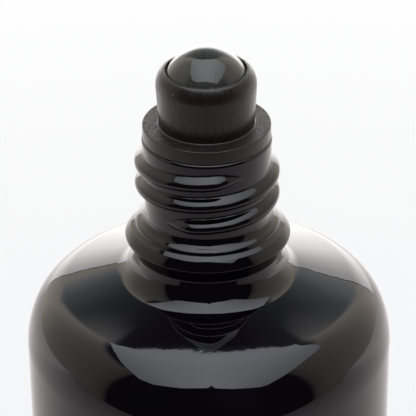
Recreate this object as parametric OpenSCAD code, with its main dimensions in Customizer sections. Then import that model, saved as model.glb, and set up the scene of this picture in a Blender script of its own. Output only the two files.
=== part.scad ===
/* [Bottle body] */
// Height from the ring it stands on to the top of the lip
bottle_h = 112; // [95:0.5:150]
// Diameter of the body
body_d = 47.2; // [40:0.2:60]
// Thickness of the glass at the side
wall_t = 3; // [1.5:0.1:4]
// Thickness of the glass in the middle of the base
base_t = 4.5; // [3:0.1:8]
// Height of the hollow under the base, in its middle
push_up_h = 1.8; // [0.6:0.1:3]
// Width of the flat ring that the bottle stands on
rest_w = 1.6; // [1:0.1:3]
// Radius of the heel
heel_r = 3.5; // [2:0.1:6]
// Radius of the corner inside, round the floor
floor_corner_r = 5; // [3:0.1:8]

/* [Shoulder] */
// Slope of the shoulder's top in degrees
shoulder_slope = 17.4; // [10:0.1:30]
// Radius where the shoulder turns down
shoulder_r = 7.1; // [5:0.1:9]
// Radius where that turn runs out into the body
shoulder_side_r = 10.3; // [9:0.1:14]
// Slope in degrees where one radius passes into the other
shoulder_turn = 66.8; // [50:0.1:80]
// Radius between the neck and the shoulder
neck_fillet_r = 3.3; // [2.5:0.1:4.5]
// Radius inside, where the bore opens into the body
bore_foot_r = 3.2; // [1:0.1:5]

/* [Neck finish] */
// Diameter of the bore
bore_d = 10.8; // [10:0.1:11.4]
// Outer diameter at the lip
lip_d = 16.3; // [15.4:0.1:17]
// Radius of the lip's two edges
lip_edge_r = 0.45; // [0.2:0.05:0.8]
// Diameter of the root just above the bead
root_d = 15.9; // [15:0.1:16.4]
// Radius between the root and the step on the bead
root_fillet_r = 1.4; // [1:0.05:1.6]
// Diameter of the step on the bead, at its foot
step_d = 18.2; // [17.8:0.1:18.8]
// Slope of the step's top in degrees
step_slope = 34; // [25:1:40]
// Radius of the step's edge
step_edge_r = 0.7; // [0.4:0.05:0.9]
// Lean of the step's side in degrees
step_lean = 17; // [10:1:25]
// Radius at the step's foot
step_foot_r = 0.4; // [0.2:0.05:0.5]
// Diameter of the bead
bead_d = 21; // [20.4:0.1:22]
// Depth of the bead's widest line below the lip
bead_drop = 13.7; // [13:0.1:14.4]
// Height of the bead's ledge above its widest line
ledge_h = 1.15; // [1:0.05:1.3]
// Slope of that ledge in degrees
ledge_slope = 32; // [25:1:36]
// Radius of that ledge's edge
ledge_edge_r = 0.15; // [0.1:0.05:0.25]
// Radius of the bead's side, which leans in towards the ledge
bead_side_r = 8; // [5:0.5:12]
// How much that side leans in at the bead's lower edge, in degrees
bead_side_lean = 31; // [26:1:35]
// Radius of the bead's lower edge
bead_edge_r = 0.35; // [0.2:0.05:0.5]
// Slope of the bead's underside in degrees
bead_under_slope = 20; // [8:1:30]
// Diameter of the foot of the band below the bead
band_d = 18.7; // [17.8:0.1:19.4]
// How much the band leans in towards its foot, in degrees
band_lean = 8; // [0:1:12]
// Depth of the band's foot below the lip, where the neck starts to flare
finish_h = 15.8; // [15.4:0.1:16.6]
// How much the neck leans out there, in degrees
flare_lean = 9; // [4:1:14]
// Length of the straight piece below that, above the fillet
flare_l = 0.8; // [0.4:0.1:1.2]

/* [Roller housing] */
// Diameter of the flange
flange_d = 16; // [15:0.1:17]
// Thickness of the flange
flange_t = 1.75; // [1.2:0.05:2.4]
// Radius of the flange's edges
flange_edge_r = 0.2; // [0.1:0.05:0.4]
// Thickness of the cup's wall where the cup is widest
cup_wall_t = 0.58; // [0.4:0.02:1]
// How much narrower the cup's foot is, all round
cup_taper = 0.3; // [0:0.05:0.5]
// Height of the cup's widest line above the ball's centre
cup_wide_h = 0.85; // [0:0.05:1.2]
// How far the mouth reaches in over the ball
ball_grip = 0.5; // [0.3:0.05:0.8]
// Width of the lip's rounded top, from the mouth to its highest line
mouth_land_w = 0.15; // [0.05:0.05:0.3]
// Height of the mouth's straight edge
mouth_land_h = 0.27; // [0.15:0.01:0.5]
// Thickness of the socket's floor, below the ball
socket_floor_t = 1.2; // [0.8:0.05:2]
// Diameter of the hole in that floor, which feeds the ball
feed_d = 6; // [4:0.1:7]
// Length of the plug below the flange
plug_l = 9.3; // [7:0.1:12]
// Thickness of the plug's wall
plug_wall_t = 1.1; // [0.8:0.05:1.6]
// Length of the chamfer at the plug's end
plug_lead_l = 0.7; // [0.3:0.05:1.2]
// Width of the chamfer at the plug's end
plug_lead_w = 0.3; // [0.1:0.05:0.6]
// Gap between the plug and the bore, all round
plug_gap = 0.1; // [0.05:0.01:0.2]
// How much larger than the bore the sealing ribs are, all round
rib_squeeze = 0.04; // [0.02:0.01:0.08]
// Height of a sealing rib
rib_h = 1; // [0.6:0.1:1.4]
// Distance from one sealing rib to the next
rib_pitch = 2.3; // [1.6:0.1:2.6]
// Number of sealing ribs
rib_count = 3; // [1:1:3]

/* [Ball] */
// Diameter of the ball
ball_d = 11.1; // [10.4:0.1:12]
// Height of the ball's centre above the flange
ball_lift = 4.45; // [4:0.05:5]
// Gap between the ball and its socket, all round
ball_gap = 0.12; // [0.08:0.01:0.2]

/* [Hidden] */

// Largest gap between a curve and the straight steps that follow it
arc_gap = 0.012;
// How far a cut runs past the face that it opens
overrun = 0.5;
$fn = 96;

body_r = body_d / 2;
bore_r = bore_d / 2;
lip_r = lip_d / 2;
root_r = root_d / 2;
step_r = step_d / 2;
bead_r = bead_d / 2;
band_r = band_d / 2;
flange_r = flange_d / 2;
feed_r = feed_d / 2;
ball_r = ball_d / 2;

// Heights above the ring that the bottle stands on
bead_z = bottle_h - bead_drop;
flare_z = bottle_h - finish_h;
flange_z = bottle_h + flange_t;
ball_z = flange_z + ball_lift;

// Number of straight steps that follow a turn of radius r
function steps(r, turn) = ceil(abs(turn) / (2 * acos(1 - arc_gap / r)));

// Points along an arc round c, from one angle to another, and without the first where it goes on from another arc
function arc(c, r, from, to, first = 0) =
    let (n = steps(r, to - from))
    [for (i = [first:n]) c + r * [cos(from + (to - from) * i / n), sin(from + (to - from) * i / n)]];

// Points along a quarter of an ellipse round c, from its side to its top
function quarter(c, wide, high) =
    let (n = steps(max(wide, high), 90))
    [for (i = [0:n]) c + [wide * cos(90 * i / n), high * sin(90 * i / n)]];

// Distance of p along the direction that leans the slope's angle out from straight up
function rise(p, slope) = p[0] * sin(slope) + p[1] * cos(slope);

// Height of the centre of a circle of radius r at distance x from the axis, which lies on a slope through p
function seat_z(p, slope, x, r) = (r + rise(p, slope) - x * sin(slope)) / cos(slope);

// Direction straight out from a surface that leans back by some degrees
function out(lean) = [cos(lean), sin(lean)];

// The shoulder's arcs, hung from the fillet below the neck
flare_end = [band_r, flare_z] + flare_l * [sin(flare_lean), -cos(flare_lean)];
flare_c = flare_end + neck_fillet_r * out(flare_lean);
slope_point = flare_c - neck_fillet_r * [sin(shoulder_slope), cos(shoulder_slope)];
turn_x = body_r - shoulder_side_r + (shoulder_side_r - shoulder_r) * sin(shoulder_turn);
turn_z = seat_z(slope_point, shoulder_slope, turn_x, -shoulder_r);
side_z = turn_z - (shoulder_side_r - shoulder_r) * cos(shoulder_turn);
turn_c = [turn_x, turn_z];
side_c = [body_r - shoulder_side_r, side_z];

// The bead's lower edge and its side, and the ledge at its top
edge_c = [bead_r - bead_edge_r, bead_z];
bead_c = edge_c - (bead_side_r - bead_edge_r) * out(bead_side_lean);
side_turn = asin((bead_z + ledge_h - bead_c[1]) / bead_side_r);
ledge_c = bead_c + (bead_side_r - ledge_edge_r) * out(side_turn);
ledge_point = ledge_c + ledge_edge_r * out(90 - ledge_slope);

// The step on that ledge, and the fillet above it
foot_x = step_r + step_foot_r * cos(step_lean);
step_foot_c = [foot_x, seat_z(ledge_point, ledge_slope, foot_x, step_foot_r)];
step_edge_c = step_foot_c - (step_foot_r + step_edge_r) * out(step_lean);
step_point = step_edge_c + step_edge_r * out(90 - step_slope);
root_c = [root_r + root_fillet_r, seat_z(step_point, step_slope, root_r + root_fillet_r, root_fillet_r)];

// Where the bead's underside meets the band
edge_point = edge_c - bead_edge_r * out(90 + bead_under_slope);
under_drop = (edge_point[0] - band_r - (edge_point[1] - flare_z) * tan(band_lean)) * tan(bead_under_slope);
under_z = edge_point[1] - under_drop / (1 - tan(band_lean) * tan(bead_under_slope));

// The dome under the base, from its middle to the resting ring
ring_r = body_r - heel_r - rest_w;
dome_r = (ring_r ^ 2 + push_up_h ^ 2) / (2 * push_up_h);

bottle_outside = concat(
    arc([0, push_up_h - dome_r], dome_r, 90, acos(ring_r / dome_r)),
    arc([body_r - heel_r, heel_r], heel_r, -90, 0),
    arc(side_c, shoulder_side_r, 0, 90 - shoulder_turn),
    arc(turn_c, shoulder_r, 90 - shoulder_turn, 90 - shoulder_slope, first = 1),
    arc(flare_c, neck_fillet_r, 270 - shoulder_slope, 180 + flare_lean),
    [[band_r, flare_z]],
    [[band_r + (under_z - flare_z) * tan(band_lean), under_z]],
    arc(edge_c, bead_edge_r, bead_under_slope - 90, bead_side_lean),
    arc(bead_c, bead_side_r, bead_side_lean, side_turn, first = 1),
    arc(ledge_c, ledge_edge_r, side_turn, 90 - ledge_slope, first = 1),
    arc(step_foot_c, step_foot_r, 270 - ledge_slope, 180 + step_lean),
    arc(step_edge_c, step_edge_r, step_lean, 90 - step_slope, first = 1),
    arc(root_c, root_fillet_r, 270 - step_slope, 180),
    arc([lip_r - lip_edge_r, bottle_h - lip_edge_r], lip_edge_r, 0, 90),
    [[0, bottle_h]]
);

// The inside keeps the wall's thickness from the shoulder down
inner_r = body_r - wall_t;
floor_z = push_up_h + base_t;
corner_r = min(floor_corner_r, inner_r);
inner_slope_point = turn_c + (shoulder_r - wall_t) * [sin(shoulder_slope), cos(shoulder_slope)];
foot_c = [bore_r + bore_foot_r, seat_z(inner_slope_point, shoulder_slope, bore_r + bore_foot_r, bore_foot_r)];

bottle_inside = concat(
    [[0, floor_z]],
    arc([inner_r - corner_r, floor_z + corner_r], corner_r, -90, 0),
    arc(side_c, shoulder_side_r - wall_t, 0, 90 - shoulder_turn),
    arc(turn_c, shoulder_r - wall_t, 90 - shoulder_turn, 90 - shoulder_slope, first = 1),
    arc(foot_c, bore_foot_r, 270 - shoulder_slope, 180),
    arc([bore_r + lip_edge_r, bottle_h - lip_edge_r], lip_edge_r, 180, 90),
    [[bore_r + lip_edge_r, bottle_h + overrun]],
    [[0, bottle_h + overrun]]
);

module glass_bottle() {
    color([0.07, 0.05, 0.09])
    difference() {
        rotate_extrude() polygon(bottle_outside);
        rotate_extrude() polygon(bottle_inside);
    }
}

// The socket, its mouth and the cup round it follow the ball
socket_r = ball_r + ball_gap;
mouth_r = ball_r - ball_grip;
mouth_z = ball_z + sqrt(socket_r ^ 2 - mouth_r ^ 2);
cup_r = socket_r + cup_wall_t;
cup_wide_z = ball_z + cup_wide_h;
cup_top_z = mouth_z + mouth_land_h;
cup_crown_x = mouth_r + mouth_land_w;

// The plug follows the bore
plug_r = bore_r - plug_gap;
plug_end_z = bottle_h - plug_l;
rib_r = bore_r + rib_squeeze;
rib_steps = 4;

// Points up one sealing rib, from its lower edge to its upper one
function rib(middle_z) = [for (i = [0:rib_steps])
    [plug_r + (rib_r - plug_r) * sin(180 * i / rib_steps), middle_z + rib_h * (i / rib_steps - 1 / 2)]];

rib_low_z = plug_end_z + plug_lead_l + rib_h;

housing_outside = concat(
    [[0, plug_end_z]],
    [[plug_r - plug_lead_w, plug_end_z]],
    [[plug_r, plug_end_z + plug_lead_l]],
    [for (i = [0:rib_count - 1]) each rib(rib_low_z + i * rib_pitch)],
    [[plug_r, bottle_h]],
    arc([flange_r - flange_edge_r, bottle_h + flange_edge_r], flange_edge_r, -90, 0),
    arc([flange_r - flange_edge_r, flange_z - flange_edge_r], flange_edge_r, 0, 90),
    [[cup_r - cup_taper, flange_z]],
    quarter([cup_crown_x, cup_wide_z], cup_r - cup_crown_x, cup_top_z - cup_wide_z),
    [[0, cup_top_z]]
);

module roller_housing() {
    color([0.12, 0.12, 0.13])
    difference() {
        rotate_extrude() polygon(housing_outside);
        translate([0, 0, ball_z]) sphere(r = socket_r);
        translate([0, 0, ball_z]) cylinder(r = mouth_r, h = cup_top_z + overrun - ball_z);
        translate([0, 0, plug_end_z - overrun]) cylinder(r = feed_r, h = ball_z - plug_end_z + overrun);
        difference() {
            translate([0, 0, plug_end_z - overrun])
                cylinder(r = plug_r - plug_wall_t, h = ball_z - plug_end_z + overrun);
            translate([0, 0, ball_z]) sphere(r = socket_r + socket_floor_t);
        }
    }
}

module roller_ball() {
    color([0.8, 0.86, 0.84, 0.6])
    translate([0, 0, ball_z]) sphere(r = ball_r);
}

glass_bottle();
roller_housing();
roller_ball();
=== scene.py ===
import math

import bpy
import numpy as np
from mathutils import Matrix, Vector


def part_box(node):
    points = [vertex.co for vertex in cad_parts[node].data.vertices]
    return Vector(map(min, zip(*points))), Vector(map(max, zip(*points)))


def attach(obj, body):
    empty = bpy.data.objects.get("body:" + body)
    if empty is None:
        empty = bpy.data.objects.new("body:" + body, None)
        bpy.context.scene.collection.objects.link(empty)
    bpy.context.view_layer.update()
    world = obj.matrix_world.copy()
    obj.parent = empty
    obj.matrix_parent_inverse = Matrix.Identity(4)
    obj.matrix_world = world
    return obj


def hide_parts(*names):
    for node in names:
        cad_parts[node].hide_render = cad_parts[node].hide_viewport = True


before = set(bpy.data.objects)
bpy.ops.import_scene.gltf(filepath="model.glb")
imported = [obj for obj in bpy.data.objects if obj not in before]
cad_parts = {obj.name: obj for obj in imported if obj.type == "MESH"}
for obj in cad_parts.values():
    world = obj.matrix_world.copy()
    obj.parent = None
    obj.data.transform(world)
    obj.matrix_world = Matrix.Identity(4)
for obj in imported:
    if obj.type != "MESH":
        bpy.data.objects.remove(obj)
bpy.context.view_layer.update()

MM = 0.001
TINY = 0.000001
SAME_POINT_MM = 0.0001

# Sizes that the frame gives, in millimetres
bottle_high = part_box("glass_bottle")[1] / MM
housing_low, housing_high = (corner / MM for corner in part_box("roller_housing"))
ball_low, ball_high = (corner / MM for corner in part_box("roller_ball"))
BODY_R = bottle_high.x
LIP_Z = bottle_high.z
PLUG_END_Z = housing_low.z
CUP_TOP_Z = housing_high.z
BALL_R = (ball_high.z - ball_low.z) / 2
BALL_Z = (ball_high.z + ball_low.z) / 2

# The bottle's body: lengths in millimetres, slopes and turns in degrees
HEEL_R = 3.5
REST_W = 1.6
PUSH_UP_H = 1.8
WALL_T = 3
BASE_T = 4.5
FLOOR_CORNER_R = 5
SHOULDER_TOP_SLOPE = 16.9
SHOULDER_LOW_SLOPE = 18.4
SHOULDER_R = 7.1
SHOULDER_TURN = 66.8
SHOULDER_SIDE_R = 10.3
NECK_FILLET_R = 3.3
BORE_FOOT_R = 3.2

# The neck's finish
BORE_R = 5.4
LIP_R = 8.15
LIP_EDGE_R = 0.45
ROOT_R = 7.95
ROOT_FILLET_R = 1.4
STEP_R = 9.1
STEP_SLOPE = 34
STEP_EDGE_R = 0.7
STEP_LEAN = 17
STEP_FOOT_R = 0.4
BEAD_R = 10.5
BEAD_Z = LIP_Z - 13.7
LEDGE_H = 1.15
LEDGE_SLOPE = 32
LEDGE_EDGE_R = 0.15
BEAD_SIDE_R = 8
BEAD_SIDE_LEAN = 31
BEAD_EDGE_R = 0.35
BEAD_UNDER_SLOPE = 20
BAND_R = 9.35
BAND_LEAN = 8
FLARE_Z = LIP_Z - 15.8
FLARE_LEAN = 9
FLARE_L = 0.8

# The thread: a right-hand single start, measured by the angle from +X
THREAD_CREST_R = 9.12
THREAD_PITCH = 3
THREAD_ROUND_R = 0.8
THREAD_FLANK = 51
THREAD_FILLET_R = 0.27
THREAD_Z = LIP_Z - 7.89
THREAD_FIRST, THREAD_LAST = math.radians(-132), math.radians(664)
THREAD_RUN_IN, THREAD_RUN_OUT = math.radians(32), math.radians(30)
THREAD_TURNS = range(-1, 3)

# The roller housing
FLANGE_R = 8
FLANGE_T = 1.75
FLANGE_EDGE_R = 0.13
FLANGE_Z = LIP_Z + FLANGE_T
CUP_R = 6.25
CUP_FOOT_R = 5.95
CUP_FOOT_FILLET_R = 0.2
CUP_WIDE_Z = BALL_Z + 0.85
CUP_LIP_R = 0.7
CUP_LIP_TURN = 36
MOUTH_R = BALL_R - 0.5
MOUTH_EDGE_R = 0.08
SOCKET_R = BALL_R + 0.12
SOCKET_FLOOR_T = 1.2
FEED_R = 3
PLUG_R = 5.3
PLUG_WALL_T = 1.1
PLUG_LEAD_L = 0.7
PLUG_LEAD_W = 0.3
PLUG_TOP_W = 0.15
RIB_R = 5.44
RIB_H = 1
RIB_PITCH = 2.3
RIB_COUNT = 3
RIB_STEPS = 8

# Columns round the axis
BOTTLE_COLUMNS = 200
SMALL_COLUMNS = 160


def sine(degrees):
    """Sine of an angle in degrees."""
    return math.sin(math.radians(degrees))


def cosine(degrees):
    """Cosine of an angle in degrees."""
    return math.cos(math.radians(degrees))


def out(lean):
    """Direction straight out from a surface that leans back by some degrees."""
    return Vector((cosine(lean), sine(lean)))


def arc(centre, radius, first, last, gap=0.3, most=4):
    """Points round centre between two angles in degrees, at most gap millimetres and most degrees apart."""
    length = abs(math.radians(last - first)) * radius
    count = max(2, math.ceil(length / gap), math.ceil(abs(last - first) / most))
    angles = np.radians(np.linspace(first, last, count + 1))
    return [(centre[0] + radius * math.cos(a), centre[1] + radius * math.sin(a)) for a in angles]


def straight(start, end, gap):
    """Points from start to end, both included, at most gap millimetres apart."""
    count = max(1, math.ceil(math.dist(start, end) / gap))
    return [tuple(Vector(start).lerp(Vector(end), i / count)) for i in range(count + 1)]


def without_doubles(points):
    """The same points without those that lie on the one before."""
    kept = [points[0]]
    for point in points[1:]:
        if math.dist(point, kept[-1]) > SAME_POINT_MM:
            kept.append(point)
    return kept


def seat(point, slope, x, radius):
    """Centre, at distance x from the axis, of a circle that lies on the slope through point."""
    lean, up = sine(slope), cosine(slope)
    return x, (radius + point[0] * lean + point[1] * up - x * lean) / up


def below(radius, aside):
    """How far a round of this radius lies under its crown at a distance aside."""
    return radius - np.sqrt(np.maximum(radius ** 2 - aside ** 2, 0))


def revolve(name, outline, columns, relief=None, closed=False):
    """A mesh turned from an outline in millimetres, moved outwards by relief(angle, z, r)."""
    r, z = np.array(outline).T
    angles = np.linspace(0, 2 * math.pi, columns, endpoint=False)
    turned, height = np.repeat(r[:, None], columns, 1), np.repeat(z[:, None], columns, 1)
    if relief:
        turned = turned + relief(angles[None, :] + 0 * turned, height, turned)
    places = np.stack([turned * np.cos(angles), turned * np.sin(angles), height], -1) * MM
    rows = len(r)
    vertices, index = [], []
    for i in range(rows):
        if r[i] < TINY:
            index.append([len(vertices)] * columns)
            vertices.append((0, 0, z[i] * MM))
        else:
            index.append(range(len(vertices), len(vertices) + columns))
            vertices.extend(map(tuple, places[i]))
    faces = []
    for i in range(rows if closed else rows - 1):
        low, high = index[i], index[(i + 1) % rows]
        for j in range(columns):
            k = (j + 1) % columns
            corners = (low[j], low[k], high[k], high[j])
            faces.append(tuple(dict.fromkeys(corners)))
    mesh = bpy.data.meshes.new(name)
    mesh.from_pydata(vertices, [], faces)
    mesh.validate()
    mesh.shade_smooth()
    piece = bpy.data.objects.new(name, mesh)
    bpy.context.scene.collection.objects.link(piece)
    return piece


def ramp(value, low, high):
    """Runs smoothly from 0 at low to 1 at high."""
    share = np.clip((value - low) / (high - low), 0, 1)
    return share * share * (3 - 2 * share)


def thread_section(distance):
    """A ridge 1 mm high over the root: a round crown, a straight flank above it and a fillet at each foot."""
    reach = THREAD_FILLET_R + THREAD_ROUND_R
    lower_flank = math.degrees(math.acos((reach - 1) / reach))
    raised = np.zeros_like(distance)
    for side, turn in ((1, THREAD_FLANK), (-1, lower_flank)):
        d = distance * side
        lean, drop, slope = sine(turn), 1 - cosine(turn), math.tan(math.radians(turn))
        crown_end = THREAD_ROUND_R * lean
        crown_low = 1 - THREAD_ROUND_R * drop
        flank_end = crown_end + (crown_low - THREAD_FILLET_R * drop) / slope
        foot = flank_end + THREAD_FILLET_R * lean
        crown = 1 - below(THREAD_ROUND_R, np.minimum(d, crown_end))
        flank = crown_low - (d - crown_end) * slope
        fillet = below(THREAD_FILLET_R, np.clip(foot - d, 0, foot - flank_end))
        height = np.select([d < crown_end, d < flank_end, d < foot], [crown, flank, fillet])
        raised = np.where(d >= 0, height, raised)
    return raised


def neck_relief(angle, z, r):
    """The thread on the neck's root."""
    raised = np.zeros_like(z)
    height = THREAD_CREST_R - r
    for turn in THREAD_TURNS:
        along = angle + 2 * math.pi * turn
        middle = THREAD_Z + THREAD_PITCH * along / (2 * math.pi)
        size = ramp(along, THREAD_FIRST, THREAD_FIRST + THREAD_RUN_IN)
        size = size * ramp(-along, -THREAD_LAST, THREAD_RUN_OUT - THREAD_LAST)
        size = np.maximum(size, TINY)
        ridge = size * thread_section((z - middle) / size ** 0.5) * height
        inside = (along > THREAD_FIRST) & (along < THREAD_LAST)
        raised = np.maximum(raised, np.where(inside, ridge, 0))
    outside = (r > (BORE_R + ROOT_R) / 2) & (r < THREAD_CREST_R)
    on_root = outside & (z < LIP_Z - LIP_EDGE_R) & (z > BEAD_Z)
    return np.where(on_root, raised, 0)


def shoulder_outline():
    """From the body's side up the shoulder to the band, with the two centres that the inside shares."""
    flare_end = (BAND_R + FLARE_L * sine(FLARE_LEAN), FLARE_Z - FLARE_L * cosine(FLARE_LEAN))
    fillet = Vector(flare_end) + NECK_FILLET_R * out(FLARE_LEAN)
    top = fillet - NECK_FILLET_R * out(90 - SHOULDER_TOP_SLOPE)
    side_x = BODY_R - SHOULDER_SIDE_R
    turn_x = side_x + (SHOULDER_SIDE_R - SHOULDER_R) * sine(SHOULDER_TURN)
    low_x = turn_x + SHOULDER_R * sine(SHOULDER_LOW_SLOPE)
    crown_r = (low_x - top.x) / (sine(SHOULDER_LOW_SLOPE) - sine(SHOULDER_TOP_SLOPE))
    crown = (top.x - crown_r * sine(SHOULDER_TOP_SLOPE), top.y - crown_r * cosine(SHOULDER_TOP_SLOPE))
    low_z = crown[1] + crown_r * cosine(SHOULDER_LOW_SLOPE)
    turn = (turn_x, low_z - SHOULDER_R * cosine(SHOULDER_LOW_SLOPE))
    side = (side_x, turn[1] - (SHOULDER_SIDE_R - SHOULDER_R) * cosine(SHOULDER_TURN))
    outline = (
        arc(side, SHOULDER_SIDE_R, 0, 90 - SHOULDER_TURN, most=1)
        + arc(turn, SHOULDER_R, 90 - SHOULDER_TURN, 90 - SHOULDER_LOW_SLOPE, most=1.25)
        + arc(crown, crown_r, 90 - SHOULDER_LOW_SLOPE, 90 - SHOULDER_TOP_SLOPE)
        + arc(fillet, NECK_FILLET_R, 270 - SHOULDER_TOP_SLOPE, 180 + FLARE_LEAN, gap=0.12)
        + straight(flare_end, (BAND_R, FLARE_Z), gap=0.2)
    )
    return outline, side, turn


def bead_outline():
    """From the band's foot up its side, over the bead and the step on it, to the root above them."""
    edge = Vector((BEAD_R - BEAD_EDGE_R, BEAD_Z))
    side = edge - (BEAD_SIDE_R - BEAD_EDGE_R) * out(BEAD_SIDE_LEAN)
    side_turn = math.degrees(math.asin((BEAD_Z + LEDGE_H - side.y) / BEAD_SIDE_R))
    ledge = side + (BEAD_SIDE_R - LEDGE_EDGE_R) * out(side_turn)
    ledge_point = ledge + LEDGE_EDGE_R * out(90 - LEDGE_SLOPE)
    foot_x = STEP_R + STEP_FOOT_R * cosine(STEP_LEAN)
    foot = seat(ledge_point, LEDGE_SLOPE, foot_x, STEP_FOOT_R)
    step = Vector(foot) - (STEP_FOOT_R + STEP_EDGE_R) * out(STEP_LEAN)
    step_point = step + STEP_EDGE_R * out(90 - STEP_SLOPE)
    root = seat(step_point, STEP_SLOPE, ROOT_R + ROOT_FILLET_R, ROOT_FILLET_R)
    low = edge - BEAD_EDGE_R * out(90 + BEAD_UNDER_SLOPE)
    under, lean = math.tan(math.radians(BEAD_UNDER_SLOPE)), math.tan(math.radians(BAND_LEAN))
    under_z = low.y - (low.x - BAND_R - (low.y - FLARE_Z) * lean) * under / (1 - lean * under)
    band_top = (BAND_R + (under_z - FLARE_Z) * lean, under_z)
    return (
        straight((BAND_R, FLARE_Z), band_top, gap=0.2)
        + arc(edge, BEAD_EDGE_R, BEAD_UNDER_SLOPE - 90, BEAD_SIDE_LEAN, gap=0.05)
        + arc(side, BEAD_SIDE_R, BEAD_SIDE_LEAN, side_turn, gap=0.1)
        + arc(ledge, LEDGE_EDGE_R, side_turn, 90 - LEDGE_SLOPE, gap=0.04)
        + arc(foot, STEP_FOOT_R, 270 - LEDGE_SLOPE, 180 + STEP_LEAN, gap=0.04)
        + arc(step, STEP_EDGE_R, STEP_LEAN, 90 - STEP_SLOPE, gap=0.05)
        + arc(root, ROOT_FILLET_R, 270 - STEP_SLOPE, 180, gap=0.06)
    )


def bottle_outline():
    """Round the glass, from under the base up the outside and down the inside to the middle of the floor."""
    ring_r = BODY_R - HEEL_R - REST_W
    dome_r = (ring_r ** 2 + PUSH_UP_H ** 2) / (2 * PUSH_UP_H)
    dome_edge = math.degrees(math.acos(ring_r / dome_r))
    shoulder, side, turn = shoulder_outline()
    heel = arc((BODY_R - HEEL_R, HEEL_R), HEEL_R, -90, 0)
    bead = bead_outline()
    outside = (
        [(0, PUSH_UP_H)]
        + arc((0, PUSH_UP_H - dome_r), dome_r, 90, dome_edge, gap=1.5)[1:]
        + straight((ring_r, 0), heel[0], gap=0.4)
        + heel
        + straight(heel[-1], shoulder[0], gap=6)
        + shoulder
        + bead
        + straight(bead[-1], (LIP_R, LIP_Z - LIP_EDGE_R), gap=0.1)
        + arc((LIP_R - LIP_EDGE_R, LIP_Z - LIP_EDGE_R), LIP_EDGE_R, 0, 90, gap=0.07)
    )
    inner_r = BODY_R - WALL_T
    floor_z = PUSH_UP_H + BASE_T
    hang = (SHOULDER_R - WALL_T) * out(90 - SHOULDER_LOW_SLOPE)
    foot = seat(Vector(turn) + hang, SHOULDER_LOW_SLOPE, BORE_R + BORE_FOOT_R, BORE_FOOT_R)
    corner = (inner_r - FLOOR_CORNER_R, floor_z + FLOOR_CORNER_R)
    inside = (
        arc((BORE_R + LIP_EDGE_R, LIP_Z - LIP_EDGE_R), LIP_EDGE_R, 90, 180, gap=0.1)
        + arc(foot, BORE_FOOT_R, 180, 270 - SHOULDER_LOW_SLOPE, gap=0.5)
        + arc(turn, SHOULDER_R - WALL_T, 90 - SHOULDER_LOW_SLOPE, 90 - SHOULDER_TURN, gap=0.6)
        + arc(side, SHOULDER_SIDE_R - WALL_T, 90 - SHOULDER_TURN, 0, gap=0.6)
        + arc(corner, FLOOR_CORNER_R, 0, -90, gap=0.8)
        + [(0, floor_z)]
    )
    return without_doubles(outside + inside)


def rib_outline(low_z):
    """One of the plug's sealing ribs, from its lower edge to its upper one."""
    shares = [i / RIB_STEPS for i in range(RIB_STEPS + 1)]
    return [(PLUG_R + (RIB_R - PLUG_R) * math.sin(math.pi * s), low_z + RIB_H * s) for s in shares]


def cup_outline():
    """The cup from its foot on the flange up its side, over the lip and into the mouth."""
    foot = (CUP_FOOT_R + CUP_FOOT_FILLET_R, FLANGE_Z + CUP_FOOT_FILLET_R)
    side_r = (CUP_TOP_Z - CUP_WIDE_Z - CUP_LIP_R * (1 - sine(CUP_LIP_TURN))) / sine(CUP_LIP_TURN)
    side = arc((CUP_R - side_r, CUP_WIDE_Z), side_r, 0, CUP_LIP_TURN, gap=0.08, most=2)
    lip = (CUP_R - side_r + (side_r - CUP_LIP_R) * cosine(CUP_LIP_TURN), CUP_TOP_Z - CUP_LIP_R)
    mouth = (MOUTH_R + MOUTH_EDGE_R, CUP_TOP_Z - MOUTH_EDGE_R)
    return (
        arc(foot, CUP_FOOT_FILLET_R, 270, 180, gap=0.04)
        + straight((CUP_FOOT_R, foot[1]), side[0], gap=0.3)
        + side
        + arc(lip, CUP_LIP_R, CUP_LIP_TURN, 90, gap=0.03)
        + arc(mouth, MOUTH_EDGE_R, 90, 180, gap=0.03)
    )


def housing_outline():
    """Round the moulding's section, from the plug's end up the outside, over the lip and down the inside."""
    hollow_r = PLUG_R - PLUG_WALL_T
    first_rib_z = PLUG_END_Z + PLUG_LEAD_L + RIB_H / 2
    ribs = [point for n in range(RIB_COUNT) for point in rib_outline(first_rib_z + n * RIB_PITCH)]
    edge_x = FLANGE_R - FLANGE_EDGE_R
    mouth_z = math.sqrt(SOCKET_R ** 2 - MOUTH_R ** 2)
    mouth_turn = math.degrees(math.atan2(mouth_z, MOUTH_R))
    feed_turn = -math.degrees(math.acos(FEED_R / SOCKET_R))
    vault_r = SOCKET_R + SOCKET_FLOOR_T
    vault_in, vault_out = (-math.degrees(math.acos(x / vault_r)) for x in (FEED_R, hollow_r))
    return without_doubles(
        [(hollow_r, PLUG_END_Z), (PLUG_R - PLUG_LEAD_W, PLUG_END_Z), (PLUG_R, PLUG_END_Z + PLUG_LEAD_L)]
        + ribs
        + [(PLUG_R, LIP_Z - PLUG_TOP_W), (PLUG_R + PLUG_TOP_W, LIP_Z)]
        + arc((edge_x, LIP_Z + FLANGE_EDGE_R), FLANGE_EDGE_R, -90, 0, gap=0.06)
        + arc((edge_x, FLANGE_Z - FLANGE_EDGE_R), FLANGE_EDGE_R, 0, 90, gap=0.06)
        + cup_outline()
        + arc((0, BALL_Z), SOCKET_R, mouth_turn, feed_turn)
        + arc((0, BALL_Z), vault_r, vault_in, vault_out)
    )


def ball_outline():
    """Half a circle from the ball's lowest point to its highest."""
    points = arc((0, BALL_Z), BALL_R, -90, 90, gap=0.2)
    return [(0, BALL_Z - BALL_R)] + points[1:-1] + [(0, BALL_Z + BALL_R)]


def linear(code):
    """An sRGB hex colour as linear red, green, blue and alpha."""
    levels = [int(code[i:i + 2], 16) / 255 for i in (1, 3, 5)]
    return tuple(v / 12.92 if v <= 0.04045 else ((v + 0.055) / 1.055) ** 2.4 for v in levels) + (1,)


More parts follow.
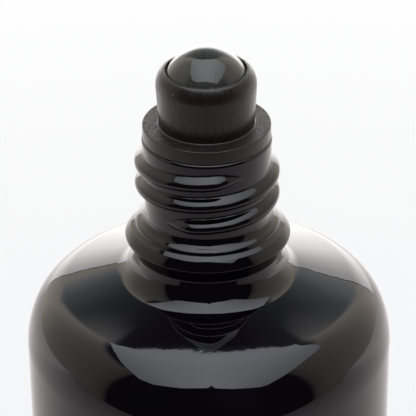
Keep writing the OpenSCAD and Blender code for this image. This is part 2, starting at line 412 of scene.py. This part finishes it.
def add(tree, kind, inputs=None, **settings):
    """Adds a node, sets its properties, and fills its inputs with values or other nodes' outputs."""
    node = tree.nodes.new(kind)
    for key, value in settings.items():
        setattr(node, key, value)
    for key, value in (inputs or {}).items():
        if isinstance(value, bpy.types.NodeSocket):
            tree.links.new(value, node.inputs[key])
        else:
            node.inputs[key].default_value = value
    return node


def empty_material(name):
    """A material with no nodes but its output, and that output."""
    material = bpy.data.materials.new(name)
    material.use_nodes = True
    material.node_tree.nodes.clear()
    return material, material.node_tree, add(material.node_tree, "ShaderNodeOutputMaterial")


def specks(tree, place, spacing_mm, share, size):
    """Sparse round specks: 1 on them and 0 elsewhere, on a share of the places of a loose pattern."""
    cells = add(tree, "ShaderNodeTexVoronoi", {"Vector": place, "Scale": 1 / (spacing_mm * MM)})
    parts = add(tree, "ShaderNodeSeparateColor", {"Color": cells.outputs["Color"]})
    rare = add(tree, "ShaderNodeMath", {0: parts.outputs["Red"], 1: 1 - share}, operation="GREATER_THAN")
    small = add(tree, "ShaderNodeMath", {0: cells.outputs["Distance"], 1: size}, operation="LESS_THAN")
    both = add(tree, "ShaderNodeMath", {0: rare.outputs[0], 1: small.outputs[0]}, operation="MULTIPLY")
    return both.outputs[0]


def violet_glass():
    """Blown and fire-polished soda-lime glass: a violet so deep that it looks black, and mirrors brightly."""
    wave_mm = 9
    wave_rise_mm = 0.03
    # Fine streaks of the real glass are wider than a millimetre, and hardly rise at all
    ripple_mm = 1.6
    ripple_rise_mm = 0.0025
    material, tree, output = empty_material("violet_glass")
    place = add(tree, "ShaderNodeTexCoord").outputs["Object"]
    waves = add(tree, "ShaderNodeTexNoise", {"Vector": place, "Scale": 1 / (wave_mm * MM), "Detail": 1})
    ripple = add(tree, "ShaderNodeTexNoise", {"Vector": place, "Scale": 1 / (ripple_mm * MM), "Detail": 2})
    fine = add(tree, "ShaderNodeBump", {
        "Height": ripple.outputs["Fac"], "Strength": 1, "Distance": ripple_rise_mm * MM})
    bump = add(tree, "ShaderNodeBump", {
        "Height": waves.outputs["Fac"], "Strength": 1, "Distance": wave_rise_mm * MM,
        "Normal": fine.outputs["Normal"]})
    depth = add(tree, "ShaderNodeValToRGB", {"Fac": waves.outputs["Fac"]})
    for stop, at, code in zip(depth.color_ramp.elements, (0.35, 0.65), ("#030205", "#06030a")):
        stop.position, stop.color = at, linear(code)
    dust = specks(tree, place, spacing_mm=2.2, share=0.07, size=0.035)
    colour = add(tree, "ShaderNodeMix", {
        0: dust, 6: depth.outputs["Color"], 7: linear("#b9b4ae")}, data_type="RGBA")
    glass = add(tree, "ShaderNodeBsdfPrincipled", {
        "Base Color": colour.outputs[2], "Roughness": 0.03, "IOR": 1.52, "Normal": bump.outputs["Normal"]})
    tree.links.new(glass.outputs[0], output.inputs["Surface"])
    return material


def black_polypropylene():
    """Injection-moulded polypropylene: brown-black, a low sheen, faint draw lines and eroded level faces."""
    # Real grain and draw lines are about 0.1 mm wide, too fine to show here, so both are drawn coarser
    grain_mm = 0.28
    grain_rise_mm = 0.02
    draw_mm = 0.3
    draw_rise_mm = 0.008
    draw_length_share = 0.08
    side_grain_share = 0.2
    level_from = 0.995
    noise_spread = (0.35, 0.65)
    drawn_roughness = (0.24, 0.4)
    eroded_roughness = (0.32, 0.66)
    material, tree, output = empty_material("black_polypropylene")
    place = add(tree, "ShaderNodeTexCoord").outputs["Object"]
    along = add(tree, "ShaderNodeMapping", {"Vector": place, "Scale": (1, 1, draw_length_share)}).outputs[0]
    grain = add(tree, "ShaderNodeTexNoise", {"Vector": place, "Scale": 1 / (grain_mm * MM), "Detail": 2})
    lines = add(tree, "ShaderNodeTexNoise", {"Vector": along, "Scale": 1 / (draw_mm * MM), "Detail": 2})
    normal = add(tree, "ShaderNodeNewGeometry").outputs["True Normal"]
    facing = add(tree, "ShaderNodeSeparateXYZ", {0: normal})
    level = add(tree, "ShaderNodeMath", {0: facing.outputs["Z"], 1: level_from}, operation="GREATER_THAN")
    depth = add(tree, "ShaderNodeMix", {0: level.outputs[0], 2: side_grain_share, 3: 1})
    height = add(tree, "ShaderNodeMath", {0: grain.outputs["Fac"], 1: depth.outputs[0]}, operation="MULTIPLY")
    fine = add(tree, "ShaderNodeBump", {
        "Height": height.outputs[0], "Strength": 1, "Distance": grain_rise_mm * MM})
    bump = add(tree, "ShaderNodeBump", {
        "Height": lines.outputs["Fac"], "Strength": 1, "Distance": draw_rise_mm * MM,
        "Normal": fine.outputs["Normal"]})
    drawn, eroded = [
        add(tree, "ShaderNodeMapRange", {
            "Value": noise.outputs["Fac"], "From Min": noise_spread[0], "From Max": noise_spread[1],
            "To Min": least, "To Max": most})
        for noise, (least, most) in ((lines, drawn_roughness), (grain, eroded_roughness))]
    rough = add(tree, "ShaderNodeMix", {0: level.outputs[0], 2: drawn.outputs[0], 3: eroded.outputs[0]})
    dust = specks(tree, place, spacing_mm=0.8, share=0.14, size=0.07)
    colour = add(tree, "ShaderNodeMix", {
        0: dust, 6: linear("#160e0b"), 7: linear("#8f8983")}, data_type="RGBA")
    plastic = add(tree, "ShaderNodeBsdfPrincipled", {
        "Base Color": colour.outputs[2], "Roughness": rough.outputs[0], "IOR": 1.49,
        "Normal": bump.outputs["Normal"]})
    tree.links.new(plastic.outputs[0], output.inputs["Surface"])
    return material


def clear_glass():
    """Ground and polished soda-lime glass: clear, with a trace of green and the haze of a handled ball."""
    haze_mm = 1.5
    material, tree, output = empty_material("clear_glass")
    place = add(tree, "ShaderNodeTexCoord").outputs["Object"]
    haze = add(tree, "ShaderNodeTexNoise", {"Vector": place, "Scale": 1 / (haze_mm * MM), "Detail": 3})
    rough = add(tree, "ShaderNodeMapRange", {"Value": haze.outputs["Fac"], "To Min": 0.0, "To Max": 0.03})
    glass = add(tree, "ShaderNodeBsdfPrincipled", {
        "Base Color": linear("#ced4c8"), "Roughness": rough.outputs[0], "IOR": 1.52,
        "Transmission Weight": 0.96})
    tree.links.new(glass.outputs[0], output.inputs["Surface"])
    return material


# The white table in metres, the painted light levels that gloss shows of it by distance behind (dim in front,
# bright far back), and its own glow
FLOOR_FRONT_Y = -0.27
FLOOR_HALF = 2.5
FLOOR_LEVELS = ((-0.28, 0.34), (-0.19, 0.42), (0, 0.72), (0.09, 1.0), (0.16, 1.35))
FLOOR_FAR_Y = (0.15, 1.2)
FLOOR_FAR_LEVEL = 2.6
FLOOR_FAR_ASIDE = (0.35, 0.65)
FLOOR_GLOW_R = (0.05, 0.3)
FLOOR_GLOW_LEAST = 0.5

# The soft box overhead: a rear edge that bows back, and the other corners listed one by one
LAMP_Z = 0.6
LAMP_REAR_Y = 0.171
LAMP_REAR_CURVE = 2.3
LAMP_REAR_HALF = 0.2
LAMP_REAR_STEPS = 12
LAMP_CORNERS = (
    (-0.24, 0.29), (-0.345, 0), (-0.4, -0.29), (-0.35, -0.4), (-0.17, -0.45),
    (-0.01, -0.43), (0.008, -0.36), (0.03, -0.44), (0.13, -0.48), (0.36, -0.5),
    (0.4, -0.46), (0.42, -0.25), (0.43, 0.14), (0.38, 0.175), (0.24, 0.223))
LAMP_LEVELS = ((0, 2.9), (0.15, 2.5), (0.3, 1.9), (0.42, 1.6))

# The backlight far behind, with a black frame just past its edge
BACKLIGHT_Y = 1.2
BACKLIGHT_CORNERS = (
    (-0.67, 0), (0.84, 0), (0.76, 0.38), (0.62, 0.58), (0.5, 0.68),
    (-0.42, 0.57), (-0.5, 0.53), (-0.61, 0.29))
BACKLIGHT_MIDDLE = (0.04, 0.22)
BACKLIGHT_HALF = (0.755, 0.406)
BACKLIGHT_LEVELS = ((0, 4.6), (0.5, 4.3), (0.8, 3.2), (1.1, 2.4))
FRAME_SHARE = 1.02
FRAME_GAP = 0.01

# The room: walls by how far they lie behind, a ceiling by height, and a plain level for matt surfaces
WALL_LEVELS = (
    (-0.47, 0.03), (-0.4, 0.35), (-0.25, 0.52), (0, 0.64), (0.26, 0.74),
    (0.5, 0.88), (0.68, 1.2), (0.78, 1.5), (1, 1.2))
CEILING_LEVELS = (
    (0.38, 1.1), (0.46, 0.9), (0.53, 0.6), (0.6, 0.45), (0.68, 0.28), (0.8, 0.17), (0.9, 0.05))
CEILING_LEAN = -0.1
REAR_CEILING_UP = (0.36, 0.44)
REAR_CEILING_BACK = (0.8, 0.87)
CEILING_UP = (0.78, 0.83)
FILL_LEVEL = 0.6

# The camera, in metres and degrees
CAMERA_PLACE = (0, -0.24126, 0.23991)
CAMERA_DOWN = 29.841
CAMERA_ASIDE = 0.014
CAMERA_ROLL = -0.62
CAMERA_LENS_MM = 190.4
CAMERA_SENSOR_MM = 36


def flat_panel(name, corners, material):
    """A flat panel of the stage through its corners."""
    mesh = bpy.data.meshes.new(name)
    mesh.from_pydata(corners, [], [tuple(range(len(corners)))])
    mesh.materials.append(material)
    panel = bpy.data.objects.new(name, mesh)
    bpy.context.scene.collection.objects.link(panel)
    return panel


def level_ramp(tree, value, levels):
    """A light level that follows value along pairs of value and level, and the socket that gives it."""
    first, last = levels[0][0], levels[-1][0]
    top = max(level for _, level in levels)
    share = add(tree, "ShaderNodeMapRange", {"Value": value, "From Min": first, "From Max": last})
    steps = add(tree, "ShaderNodeValToRGB", {"Fac": share.outputs[0]})
    stops = steps.color_ramp.elements
    for i, (at, level) in enumerate(levels):
        place = (at - first) / (last - first)
        stop = stops[0] if i == 0 else stops[-1] if i == len(levels) - 1 else stops.new(place)
        stop.position = place
        stop.color = (level / top,) * 3 + (1,)
    lit = add(tree, "ShaderNodeMath", {0: steps.outputs["Color"], 1: top}, operation="MULTIPLY")
    return lit.outputs[0]


def in_gloss(tree):
    """1 for a ray that a glossy or clear surface sends, and 0 for every other."""
    path = add(tree, "ShaderNodeLightPath")
    either = add(tree, "ShaderNodeMath", {
        0: path.outputs["Is Glossy Ray"], 1: path.outputs["Is Transmission Ray"]}, operation="MAXIMUM")
    return either.outputs[0]


def floor_paper():
    """White paper: it takes the object's shadow and shows white to the camera; in gloss and glass it shows
    painted light, dim in front and bright behind.
    """
    material, tree, output = empty_material("floor_paper")
    place = add(tree, "ShaderNodeTexCoord").outputs["Object"]
    away = add(tree, "ShaderNodeVectorMath", {0: place}, operation="LENGTH")
    glow = add(tree, "ShaderNodeMapRange", {
        "Value": away.outputs["Value"], "From Min": FLOOR_GLOW_R[0], "From Max": FLOOR_GLOW_R[1],
        "To Min": FLOOR_GLOW_LEAST, "To Max": 1})
    lit = add(tree, "ShaderNodeBsdfDiffuse", {"Color": linear("#e8e8e8")})
    white = add(tree, "ShaderNodeEmission", {"Color": linear("#ffffff"), "Strength": 1})
    seen = add(tree, "ShaderNodeMixShader", {0: glow.outputs[0], 1: lit.outputs[0], 2: white.outputs[0]})
    split = add(tree, "ShaderNodeSeparateXYZ", {0: place})
    x, y = split.outputs["X"], split.outputs["Y"]
    # Painted light and shade: the table's brightness in gloss, dim in front and bright behind, given as glow
    near = level_ramp(tree, y, FLOOR_LEVELS)
    aside = add(tree, "ShaderNodeMath", {0: x, 1: y}, operation="DIVIDE")
    aside = add(tree, "ShaderNodeMath", {0: aside.outputs[0]}, operation="ABSOLUTE")
    middle = add(tree, "ShaderNodeMapRange", {
        "Value": aside.outputs[0], "From Min": FLOOR_FAR_ASIDE[0], "From Max": FLOOR_FAR_ASIDE[1],
        "To Min": 1, "To Max": 0})
    far = add(tree, "ShaderNodeMapRange", {
        "Value": y, "From Min": FLOOR_FAR_Y[0], "From Max": FLOOR_FAR_Y[1],
        "To Min": 0, "To Max": FLOOR_FAR_LEVEL})
    extra = add(tree, "ShaderNodeMath", {0: middle.outputs[0], 1: far.outputs[0]}, operation="MULTIPLY")
    level = add(tree, "ShaderNodeMath", {0: near, 1: extra.outputs[0]}, operation="ADD")
    glossy = add(tree, "ShaderNodeEmission", {"Color": linear("#fff8f8"), "Strength": level.outputs[0]})
    front = add(tree, "ShaderNodeMixShader", {0: in_gloss(tree), 1: seen.outputs[0], 2: glossy.outputs[0]})
    back = add(tree, "ShaderNodeBsdfTransparent")
    side = add(tree, "ShaderNodeNewGeometry").outputs["Backfacing"]
    both = add(tree, "ShaderNodeMixShader", {0: side, 1: front.outputs[0], 2: back.outputs[0]})
    tree.links.new(both.outputs[0], output.inputs["Surface"])
    return material


def soft_box_cloth():
    """The soft box's diffusing cloth, brightest along its middle."""
    material, tree, output = empty_material("soft_box_cloth")
    place = add(tree, "ShaderNodeTexCoord").outputs["Object"]
    split = add(tree, "ShaderNodeSeparateXYZ", {0: place})
    aside = add(tree, "ShaderNodeMath", {0: split.outputs["X"]}, operation="ABSOLUTE")
    level = level_ramp(tree, aside.outputs[0], LAMP_LEVELS)
    cloth = add(tree, "ShaderNodeEmission", {"Color": linear("#f4f7ff"), "Strength": level})
    tree.links.new(cloth.outputs[0], output.inputs["Surface"])
    return material


def backlit_paper():
    """The translucent paper that is lit from behind, brightest in its middle."""
    material, tree, output = empty_material("backlit_paper")
    place = add(tree, "ShaderNodeTexCoord").outputs["Object"]
    middle = (BACKLIGHT_MIDDLE[0], BACKLIGHT_Y, BACKLIGHT_MIDDLE[1])
    half = (BACKLIGHT_HALF[0], BACKLIGHT_Y, BACKLIGHT_HALF[1])
    share = add(tree, "ShaderNodeVectorMath", {0: place, 1: middle}, operation="SUBTRACT")
    share = add(tree, "ShaderNodeVectorMath", {0: share.outputs[0], 1: half}, operation="DIVIDE")
    away = add(tree, "ShaderNodeVectorMath", {0: share.outputs[0]}, operation="LENGTH")
    level = level_ramp(tree, away.outputs["Value"], BACKLIGHT_LEVELS)
    glow = add(tree, "ShaderNodeEmission", {"Color": linear("#fffdfc"), "Strength": level})
    tree.links.new(glow.outputs[0], output.inputs["Surface"])
    return material


def black_metal():
    """The backlight's frame of black sheet metal."""
    material, tree, output = empty_material("black_metal")
    metal = add(tree, "ShaderNodeBsdfDiffuse", {"Color": linear("#151515")})
    tree.links.new(metal.outputs[0], output.inputs["Surface"])
    return material


def room():
    """White to the camera, and in gloss a grey studio: lit behind, dim at the sides and dark in front."""
    world = bpy.data.worlds.new("room")
    bpy.context.scene.world = world
    world.use_nodes = True
    tree = world.node_tree
    tree.nodes.clear()
    output = add(tree, "ShaderNodeOutputWorld")
    way = add(tree, "ShaderNodeTexCoord").outputs["Generated"]
    level_way = add(tree, "ShaderNodeVectorMath", {0: way, 1: (1, 1, 0)}, operation="MULTIPLY")
    level_way = add(tree, "ShaderNodeVectorMath", {0: level_way.outputs[0]}, operation="NORMALIZE")
    back = add(tree, "ShaderNodeSeparateXYZ", {0: level_way.outputs[0]}).outputs["Y"]
    split = add(tree, "ShaderNodeSeparateXYZ", {0: way})
    right, up = split.outputs["X"], split.outputs["Z"]
    walls = level_ramp(tree, back, WALL_LEVELS)
    rear_up, rear_back, high = [
        add(tree, "ShaderNodeMapRange", {
            "Value": value, "From Min": start, "From Max": end}, interpolation_type="SMOOTHSTEP")
        for value, (start, end) in ((up, REAR_CEILING_UP), (back, REAR_CEILING_BACK), (up, CEILING_UP))]
    rear = add(tree, "ShaderNodeMath", {0: rear_up.outputs[0], 1: rear_back.outputs[0]}, operation="MULTIPLY")
    over = add(tree, "ShaderNodeMath", {0: rear.outputs[0], 1: high.outputs[0]}, operation="MAXIMUM")
    lean = add(tree, "ShaderNodeMath", {0: right, 1: CEILING_LEAN, 2: up}, operation="MULTIPLY_ADD")
    ceiling = level_ramp(tree, lean.outputs[0], CEILING_LEVELS)
    level = add(tree, "ShaderNodeMix", {0: over.outputs[0], 2: walls, 3: ceiling})
    colour = add(tree, "ShaderNodeMix", {
        0: over.outputs[0], 6: linear("#fff5e8"), 7: linear("#f4fbff")}, data_type="RGBA")
    studio = add(tree, "ShaderNodeBackground", {"Color": colour.outputs[2], "Strength": level.outputs[0]})
    plain = add(tree, "ShaderNodeBackground", {"Color": linear("#ffffff"), "Strength": FILL_LEVEL})
    white = add(tree, "ShaderNodeBackground", {"Color": linear("#ffffff"), "Strength": 1})
    seen = add(tree, "ShaderNodeLightPath").outputs["Is Camera Ray"]
    unseen = add(tree, "ShaderNodeMixShader", {0: in_gloss(tree), 1: plain.outputs[0], 2: studio.outputs[0]})
    whole = add(tree, "ShaderNodeMixShader", {0: seen, 1: unseen.outputs[0], 2: white.outputs[0]})
    tree.links.new(whole.outputs[0], output.inputs["Surface"])


def make_stage():
    """The floor, the soft box overhead, the backlight with its frame, and the room."""
    flat_panel("floor", [
        (-FLOOR_HALF, FLOOR_FRONT_Y, 0), (FLOOR_HALF, FLOOR_FRONT_Y, 0),
        (FLOOR_HALF, FLOOR_HALF, 0), (-FLOOR_HALF, FLOOR_HALF, 0)], floor_paper())
    across = [LAMP_REAR_HALF * (1 - 2 * i / LAMP_REAR_STEPS) for i in range(LAMP_REAR_STEPS + 1)]
    rear = [(x, LAMP_REAR_Y + LAMP_REAR_CURVE * x ** 2) for x in across]
    box_corners = [(x, y, LAMP_Z) for x, y in [*rear, *LAMP_CORNERS]][::-1]
    box = flat_panel("soft_box", box_corners, soft_box_cloth())
    box.visible_camera = False
    light_corners = [(x, BACKLIGHT_Y, z) for x, z in BACKLIGHT_CORNERS]
    backlight = flat_panel("backlight", light_corners, backlit_paper())
    backlight.visible_camera = False
    backlight.visible_diffuse = False
    backlight.visible_shadow = False
    frame_y = BACKLIGHT_Y + FRAME_GAP
    frame_corners = [(x * FRAME_SHARE, frame_y, z * FRAME_SHARE) for x, z in BACKLIGHT_CORNERS]
    edge = flat_panel("backlight_frame", frame_corners, black_metal())
    edge.visible_camera = False
    room()


def make_camera():
    """The photograph's view: close, a third of a right angle above the bottle, through a long lens."""
    camera = bpy.data.objects.new("camera", bpy.data.cameras.new("camera"))
    bpy.context.scene.collection.objects.link(camera)
    camera.data.sensor_width = CAMERA_SENSOR_MM
    camera.data.lens = CAMERA_LENS_MM
    camera.data.clip_start = 0.01
    level = Vector((sine(CAMERA_ASIDE), cosine(CAMERA_ASIDE), 0))
    ahead = cosine(CAMERA_DOWN) * level - sine(CAMERA_DOWN) * Vector((0, 0, 1))
    right = ahead.cross(Vector((0, 0, 1))).normalized()
    up = right.cross(ahead)
    tilted = cosine(CAMERA_ROLL) * right + sine(CAMERA_ROLL) * up
    above = tilted.cross(ahead)
    turned = Matrix((tilted, above, -ahead)).transposed()
    camera.matrix_world = Matrix.Translation(CAMERA_PLACE) @ turned.to_4x4()
    bpy.context.scene.camera = camera


def make_bottle():
    """The glass bottle with its thread."""
    bottle = revolve("threaded_bottle", bottle_outline(), BOTTLE_COLUMNS, neck_relief)
    bottle.data.materials.append(violet_glass())
    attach(bottle, "bottle")
    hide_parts("glass_bottle")


def make_housing():
    """The roller housing."""
    housing = revolve("roller_fitment", housing_outline(), SMALL_COLUMNS, closed=True)
    housing.data.materials.append(black_polypropylene())
    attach(housing, "bottle")
    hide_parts("roller_housing")


def make_ball():
    """The rolling ball."""
    ball = revolve("glass_ball", ball_outline(), SMALL_COLUMNS)
    ball.data.materials.append(clear_glass())
    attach(ball, "ball")
    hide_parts("roller_ball")


bpy.context.scene.view_settings.view_transform = "Standard"
make_camera()
make_stage()
make_bottle()
make_housing()
make_ball()
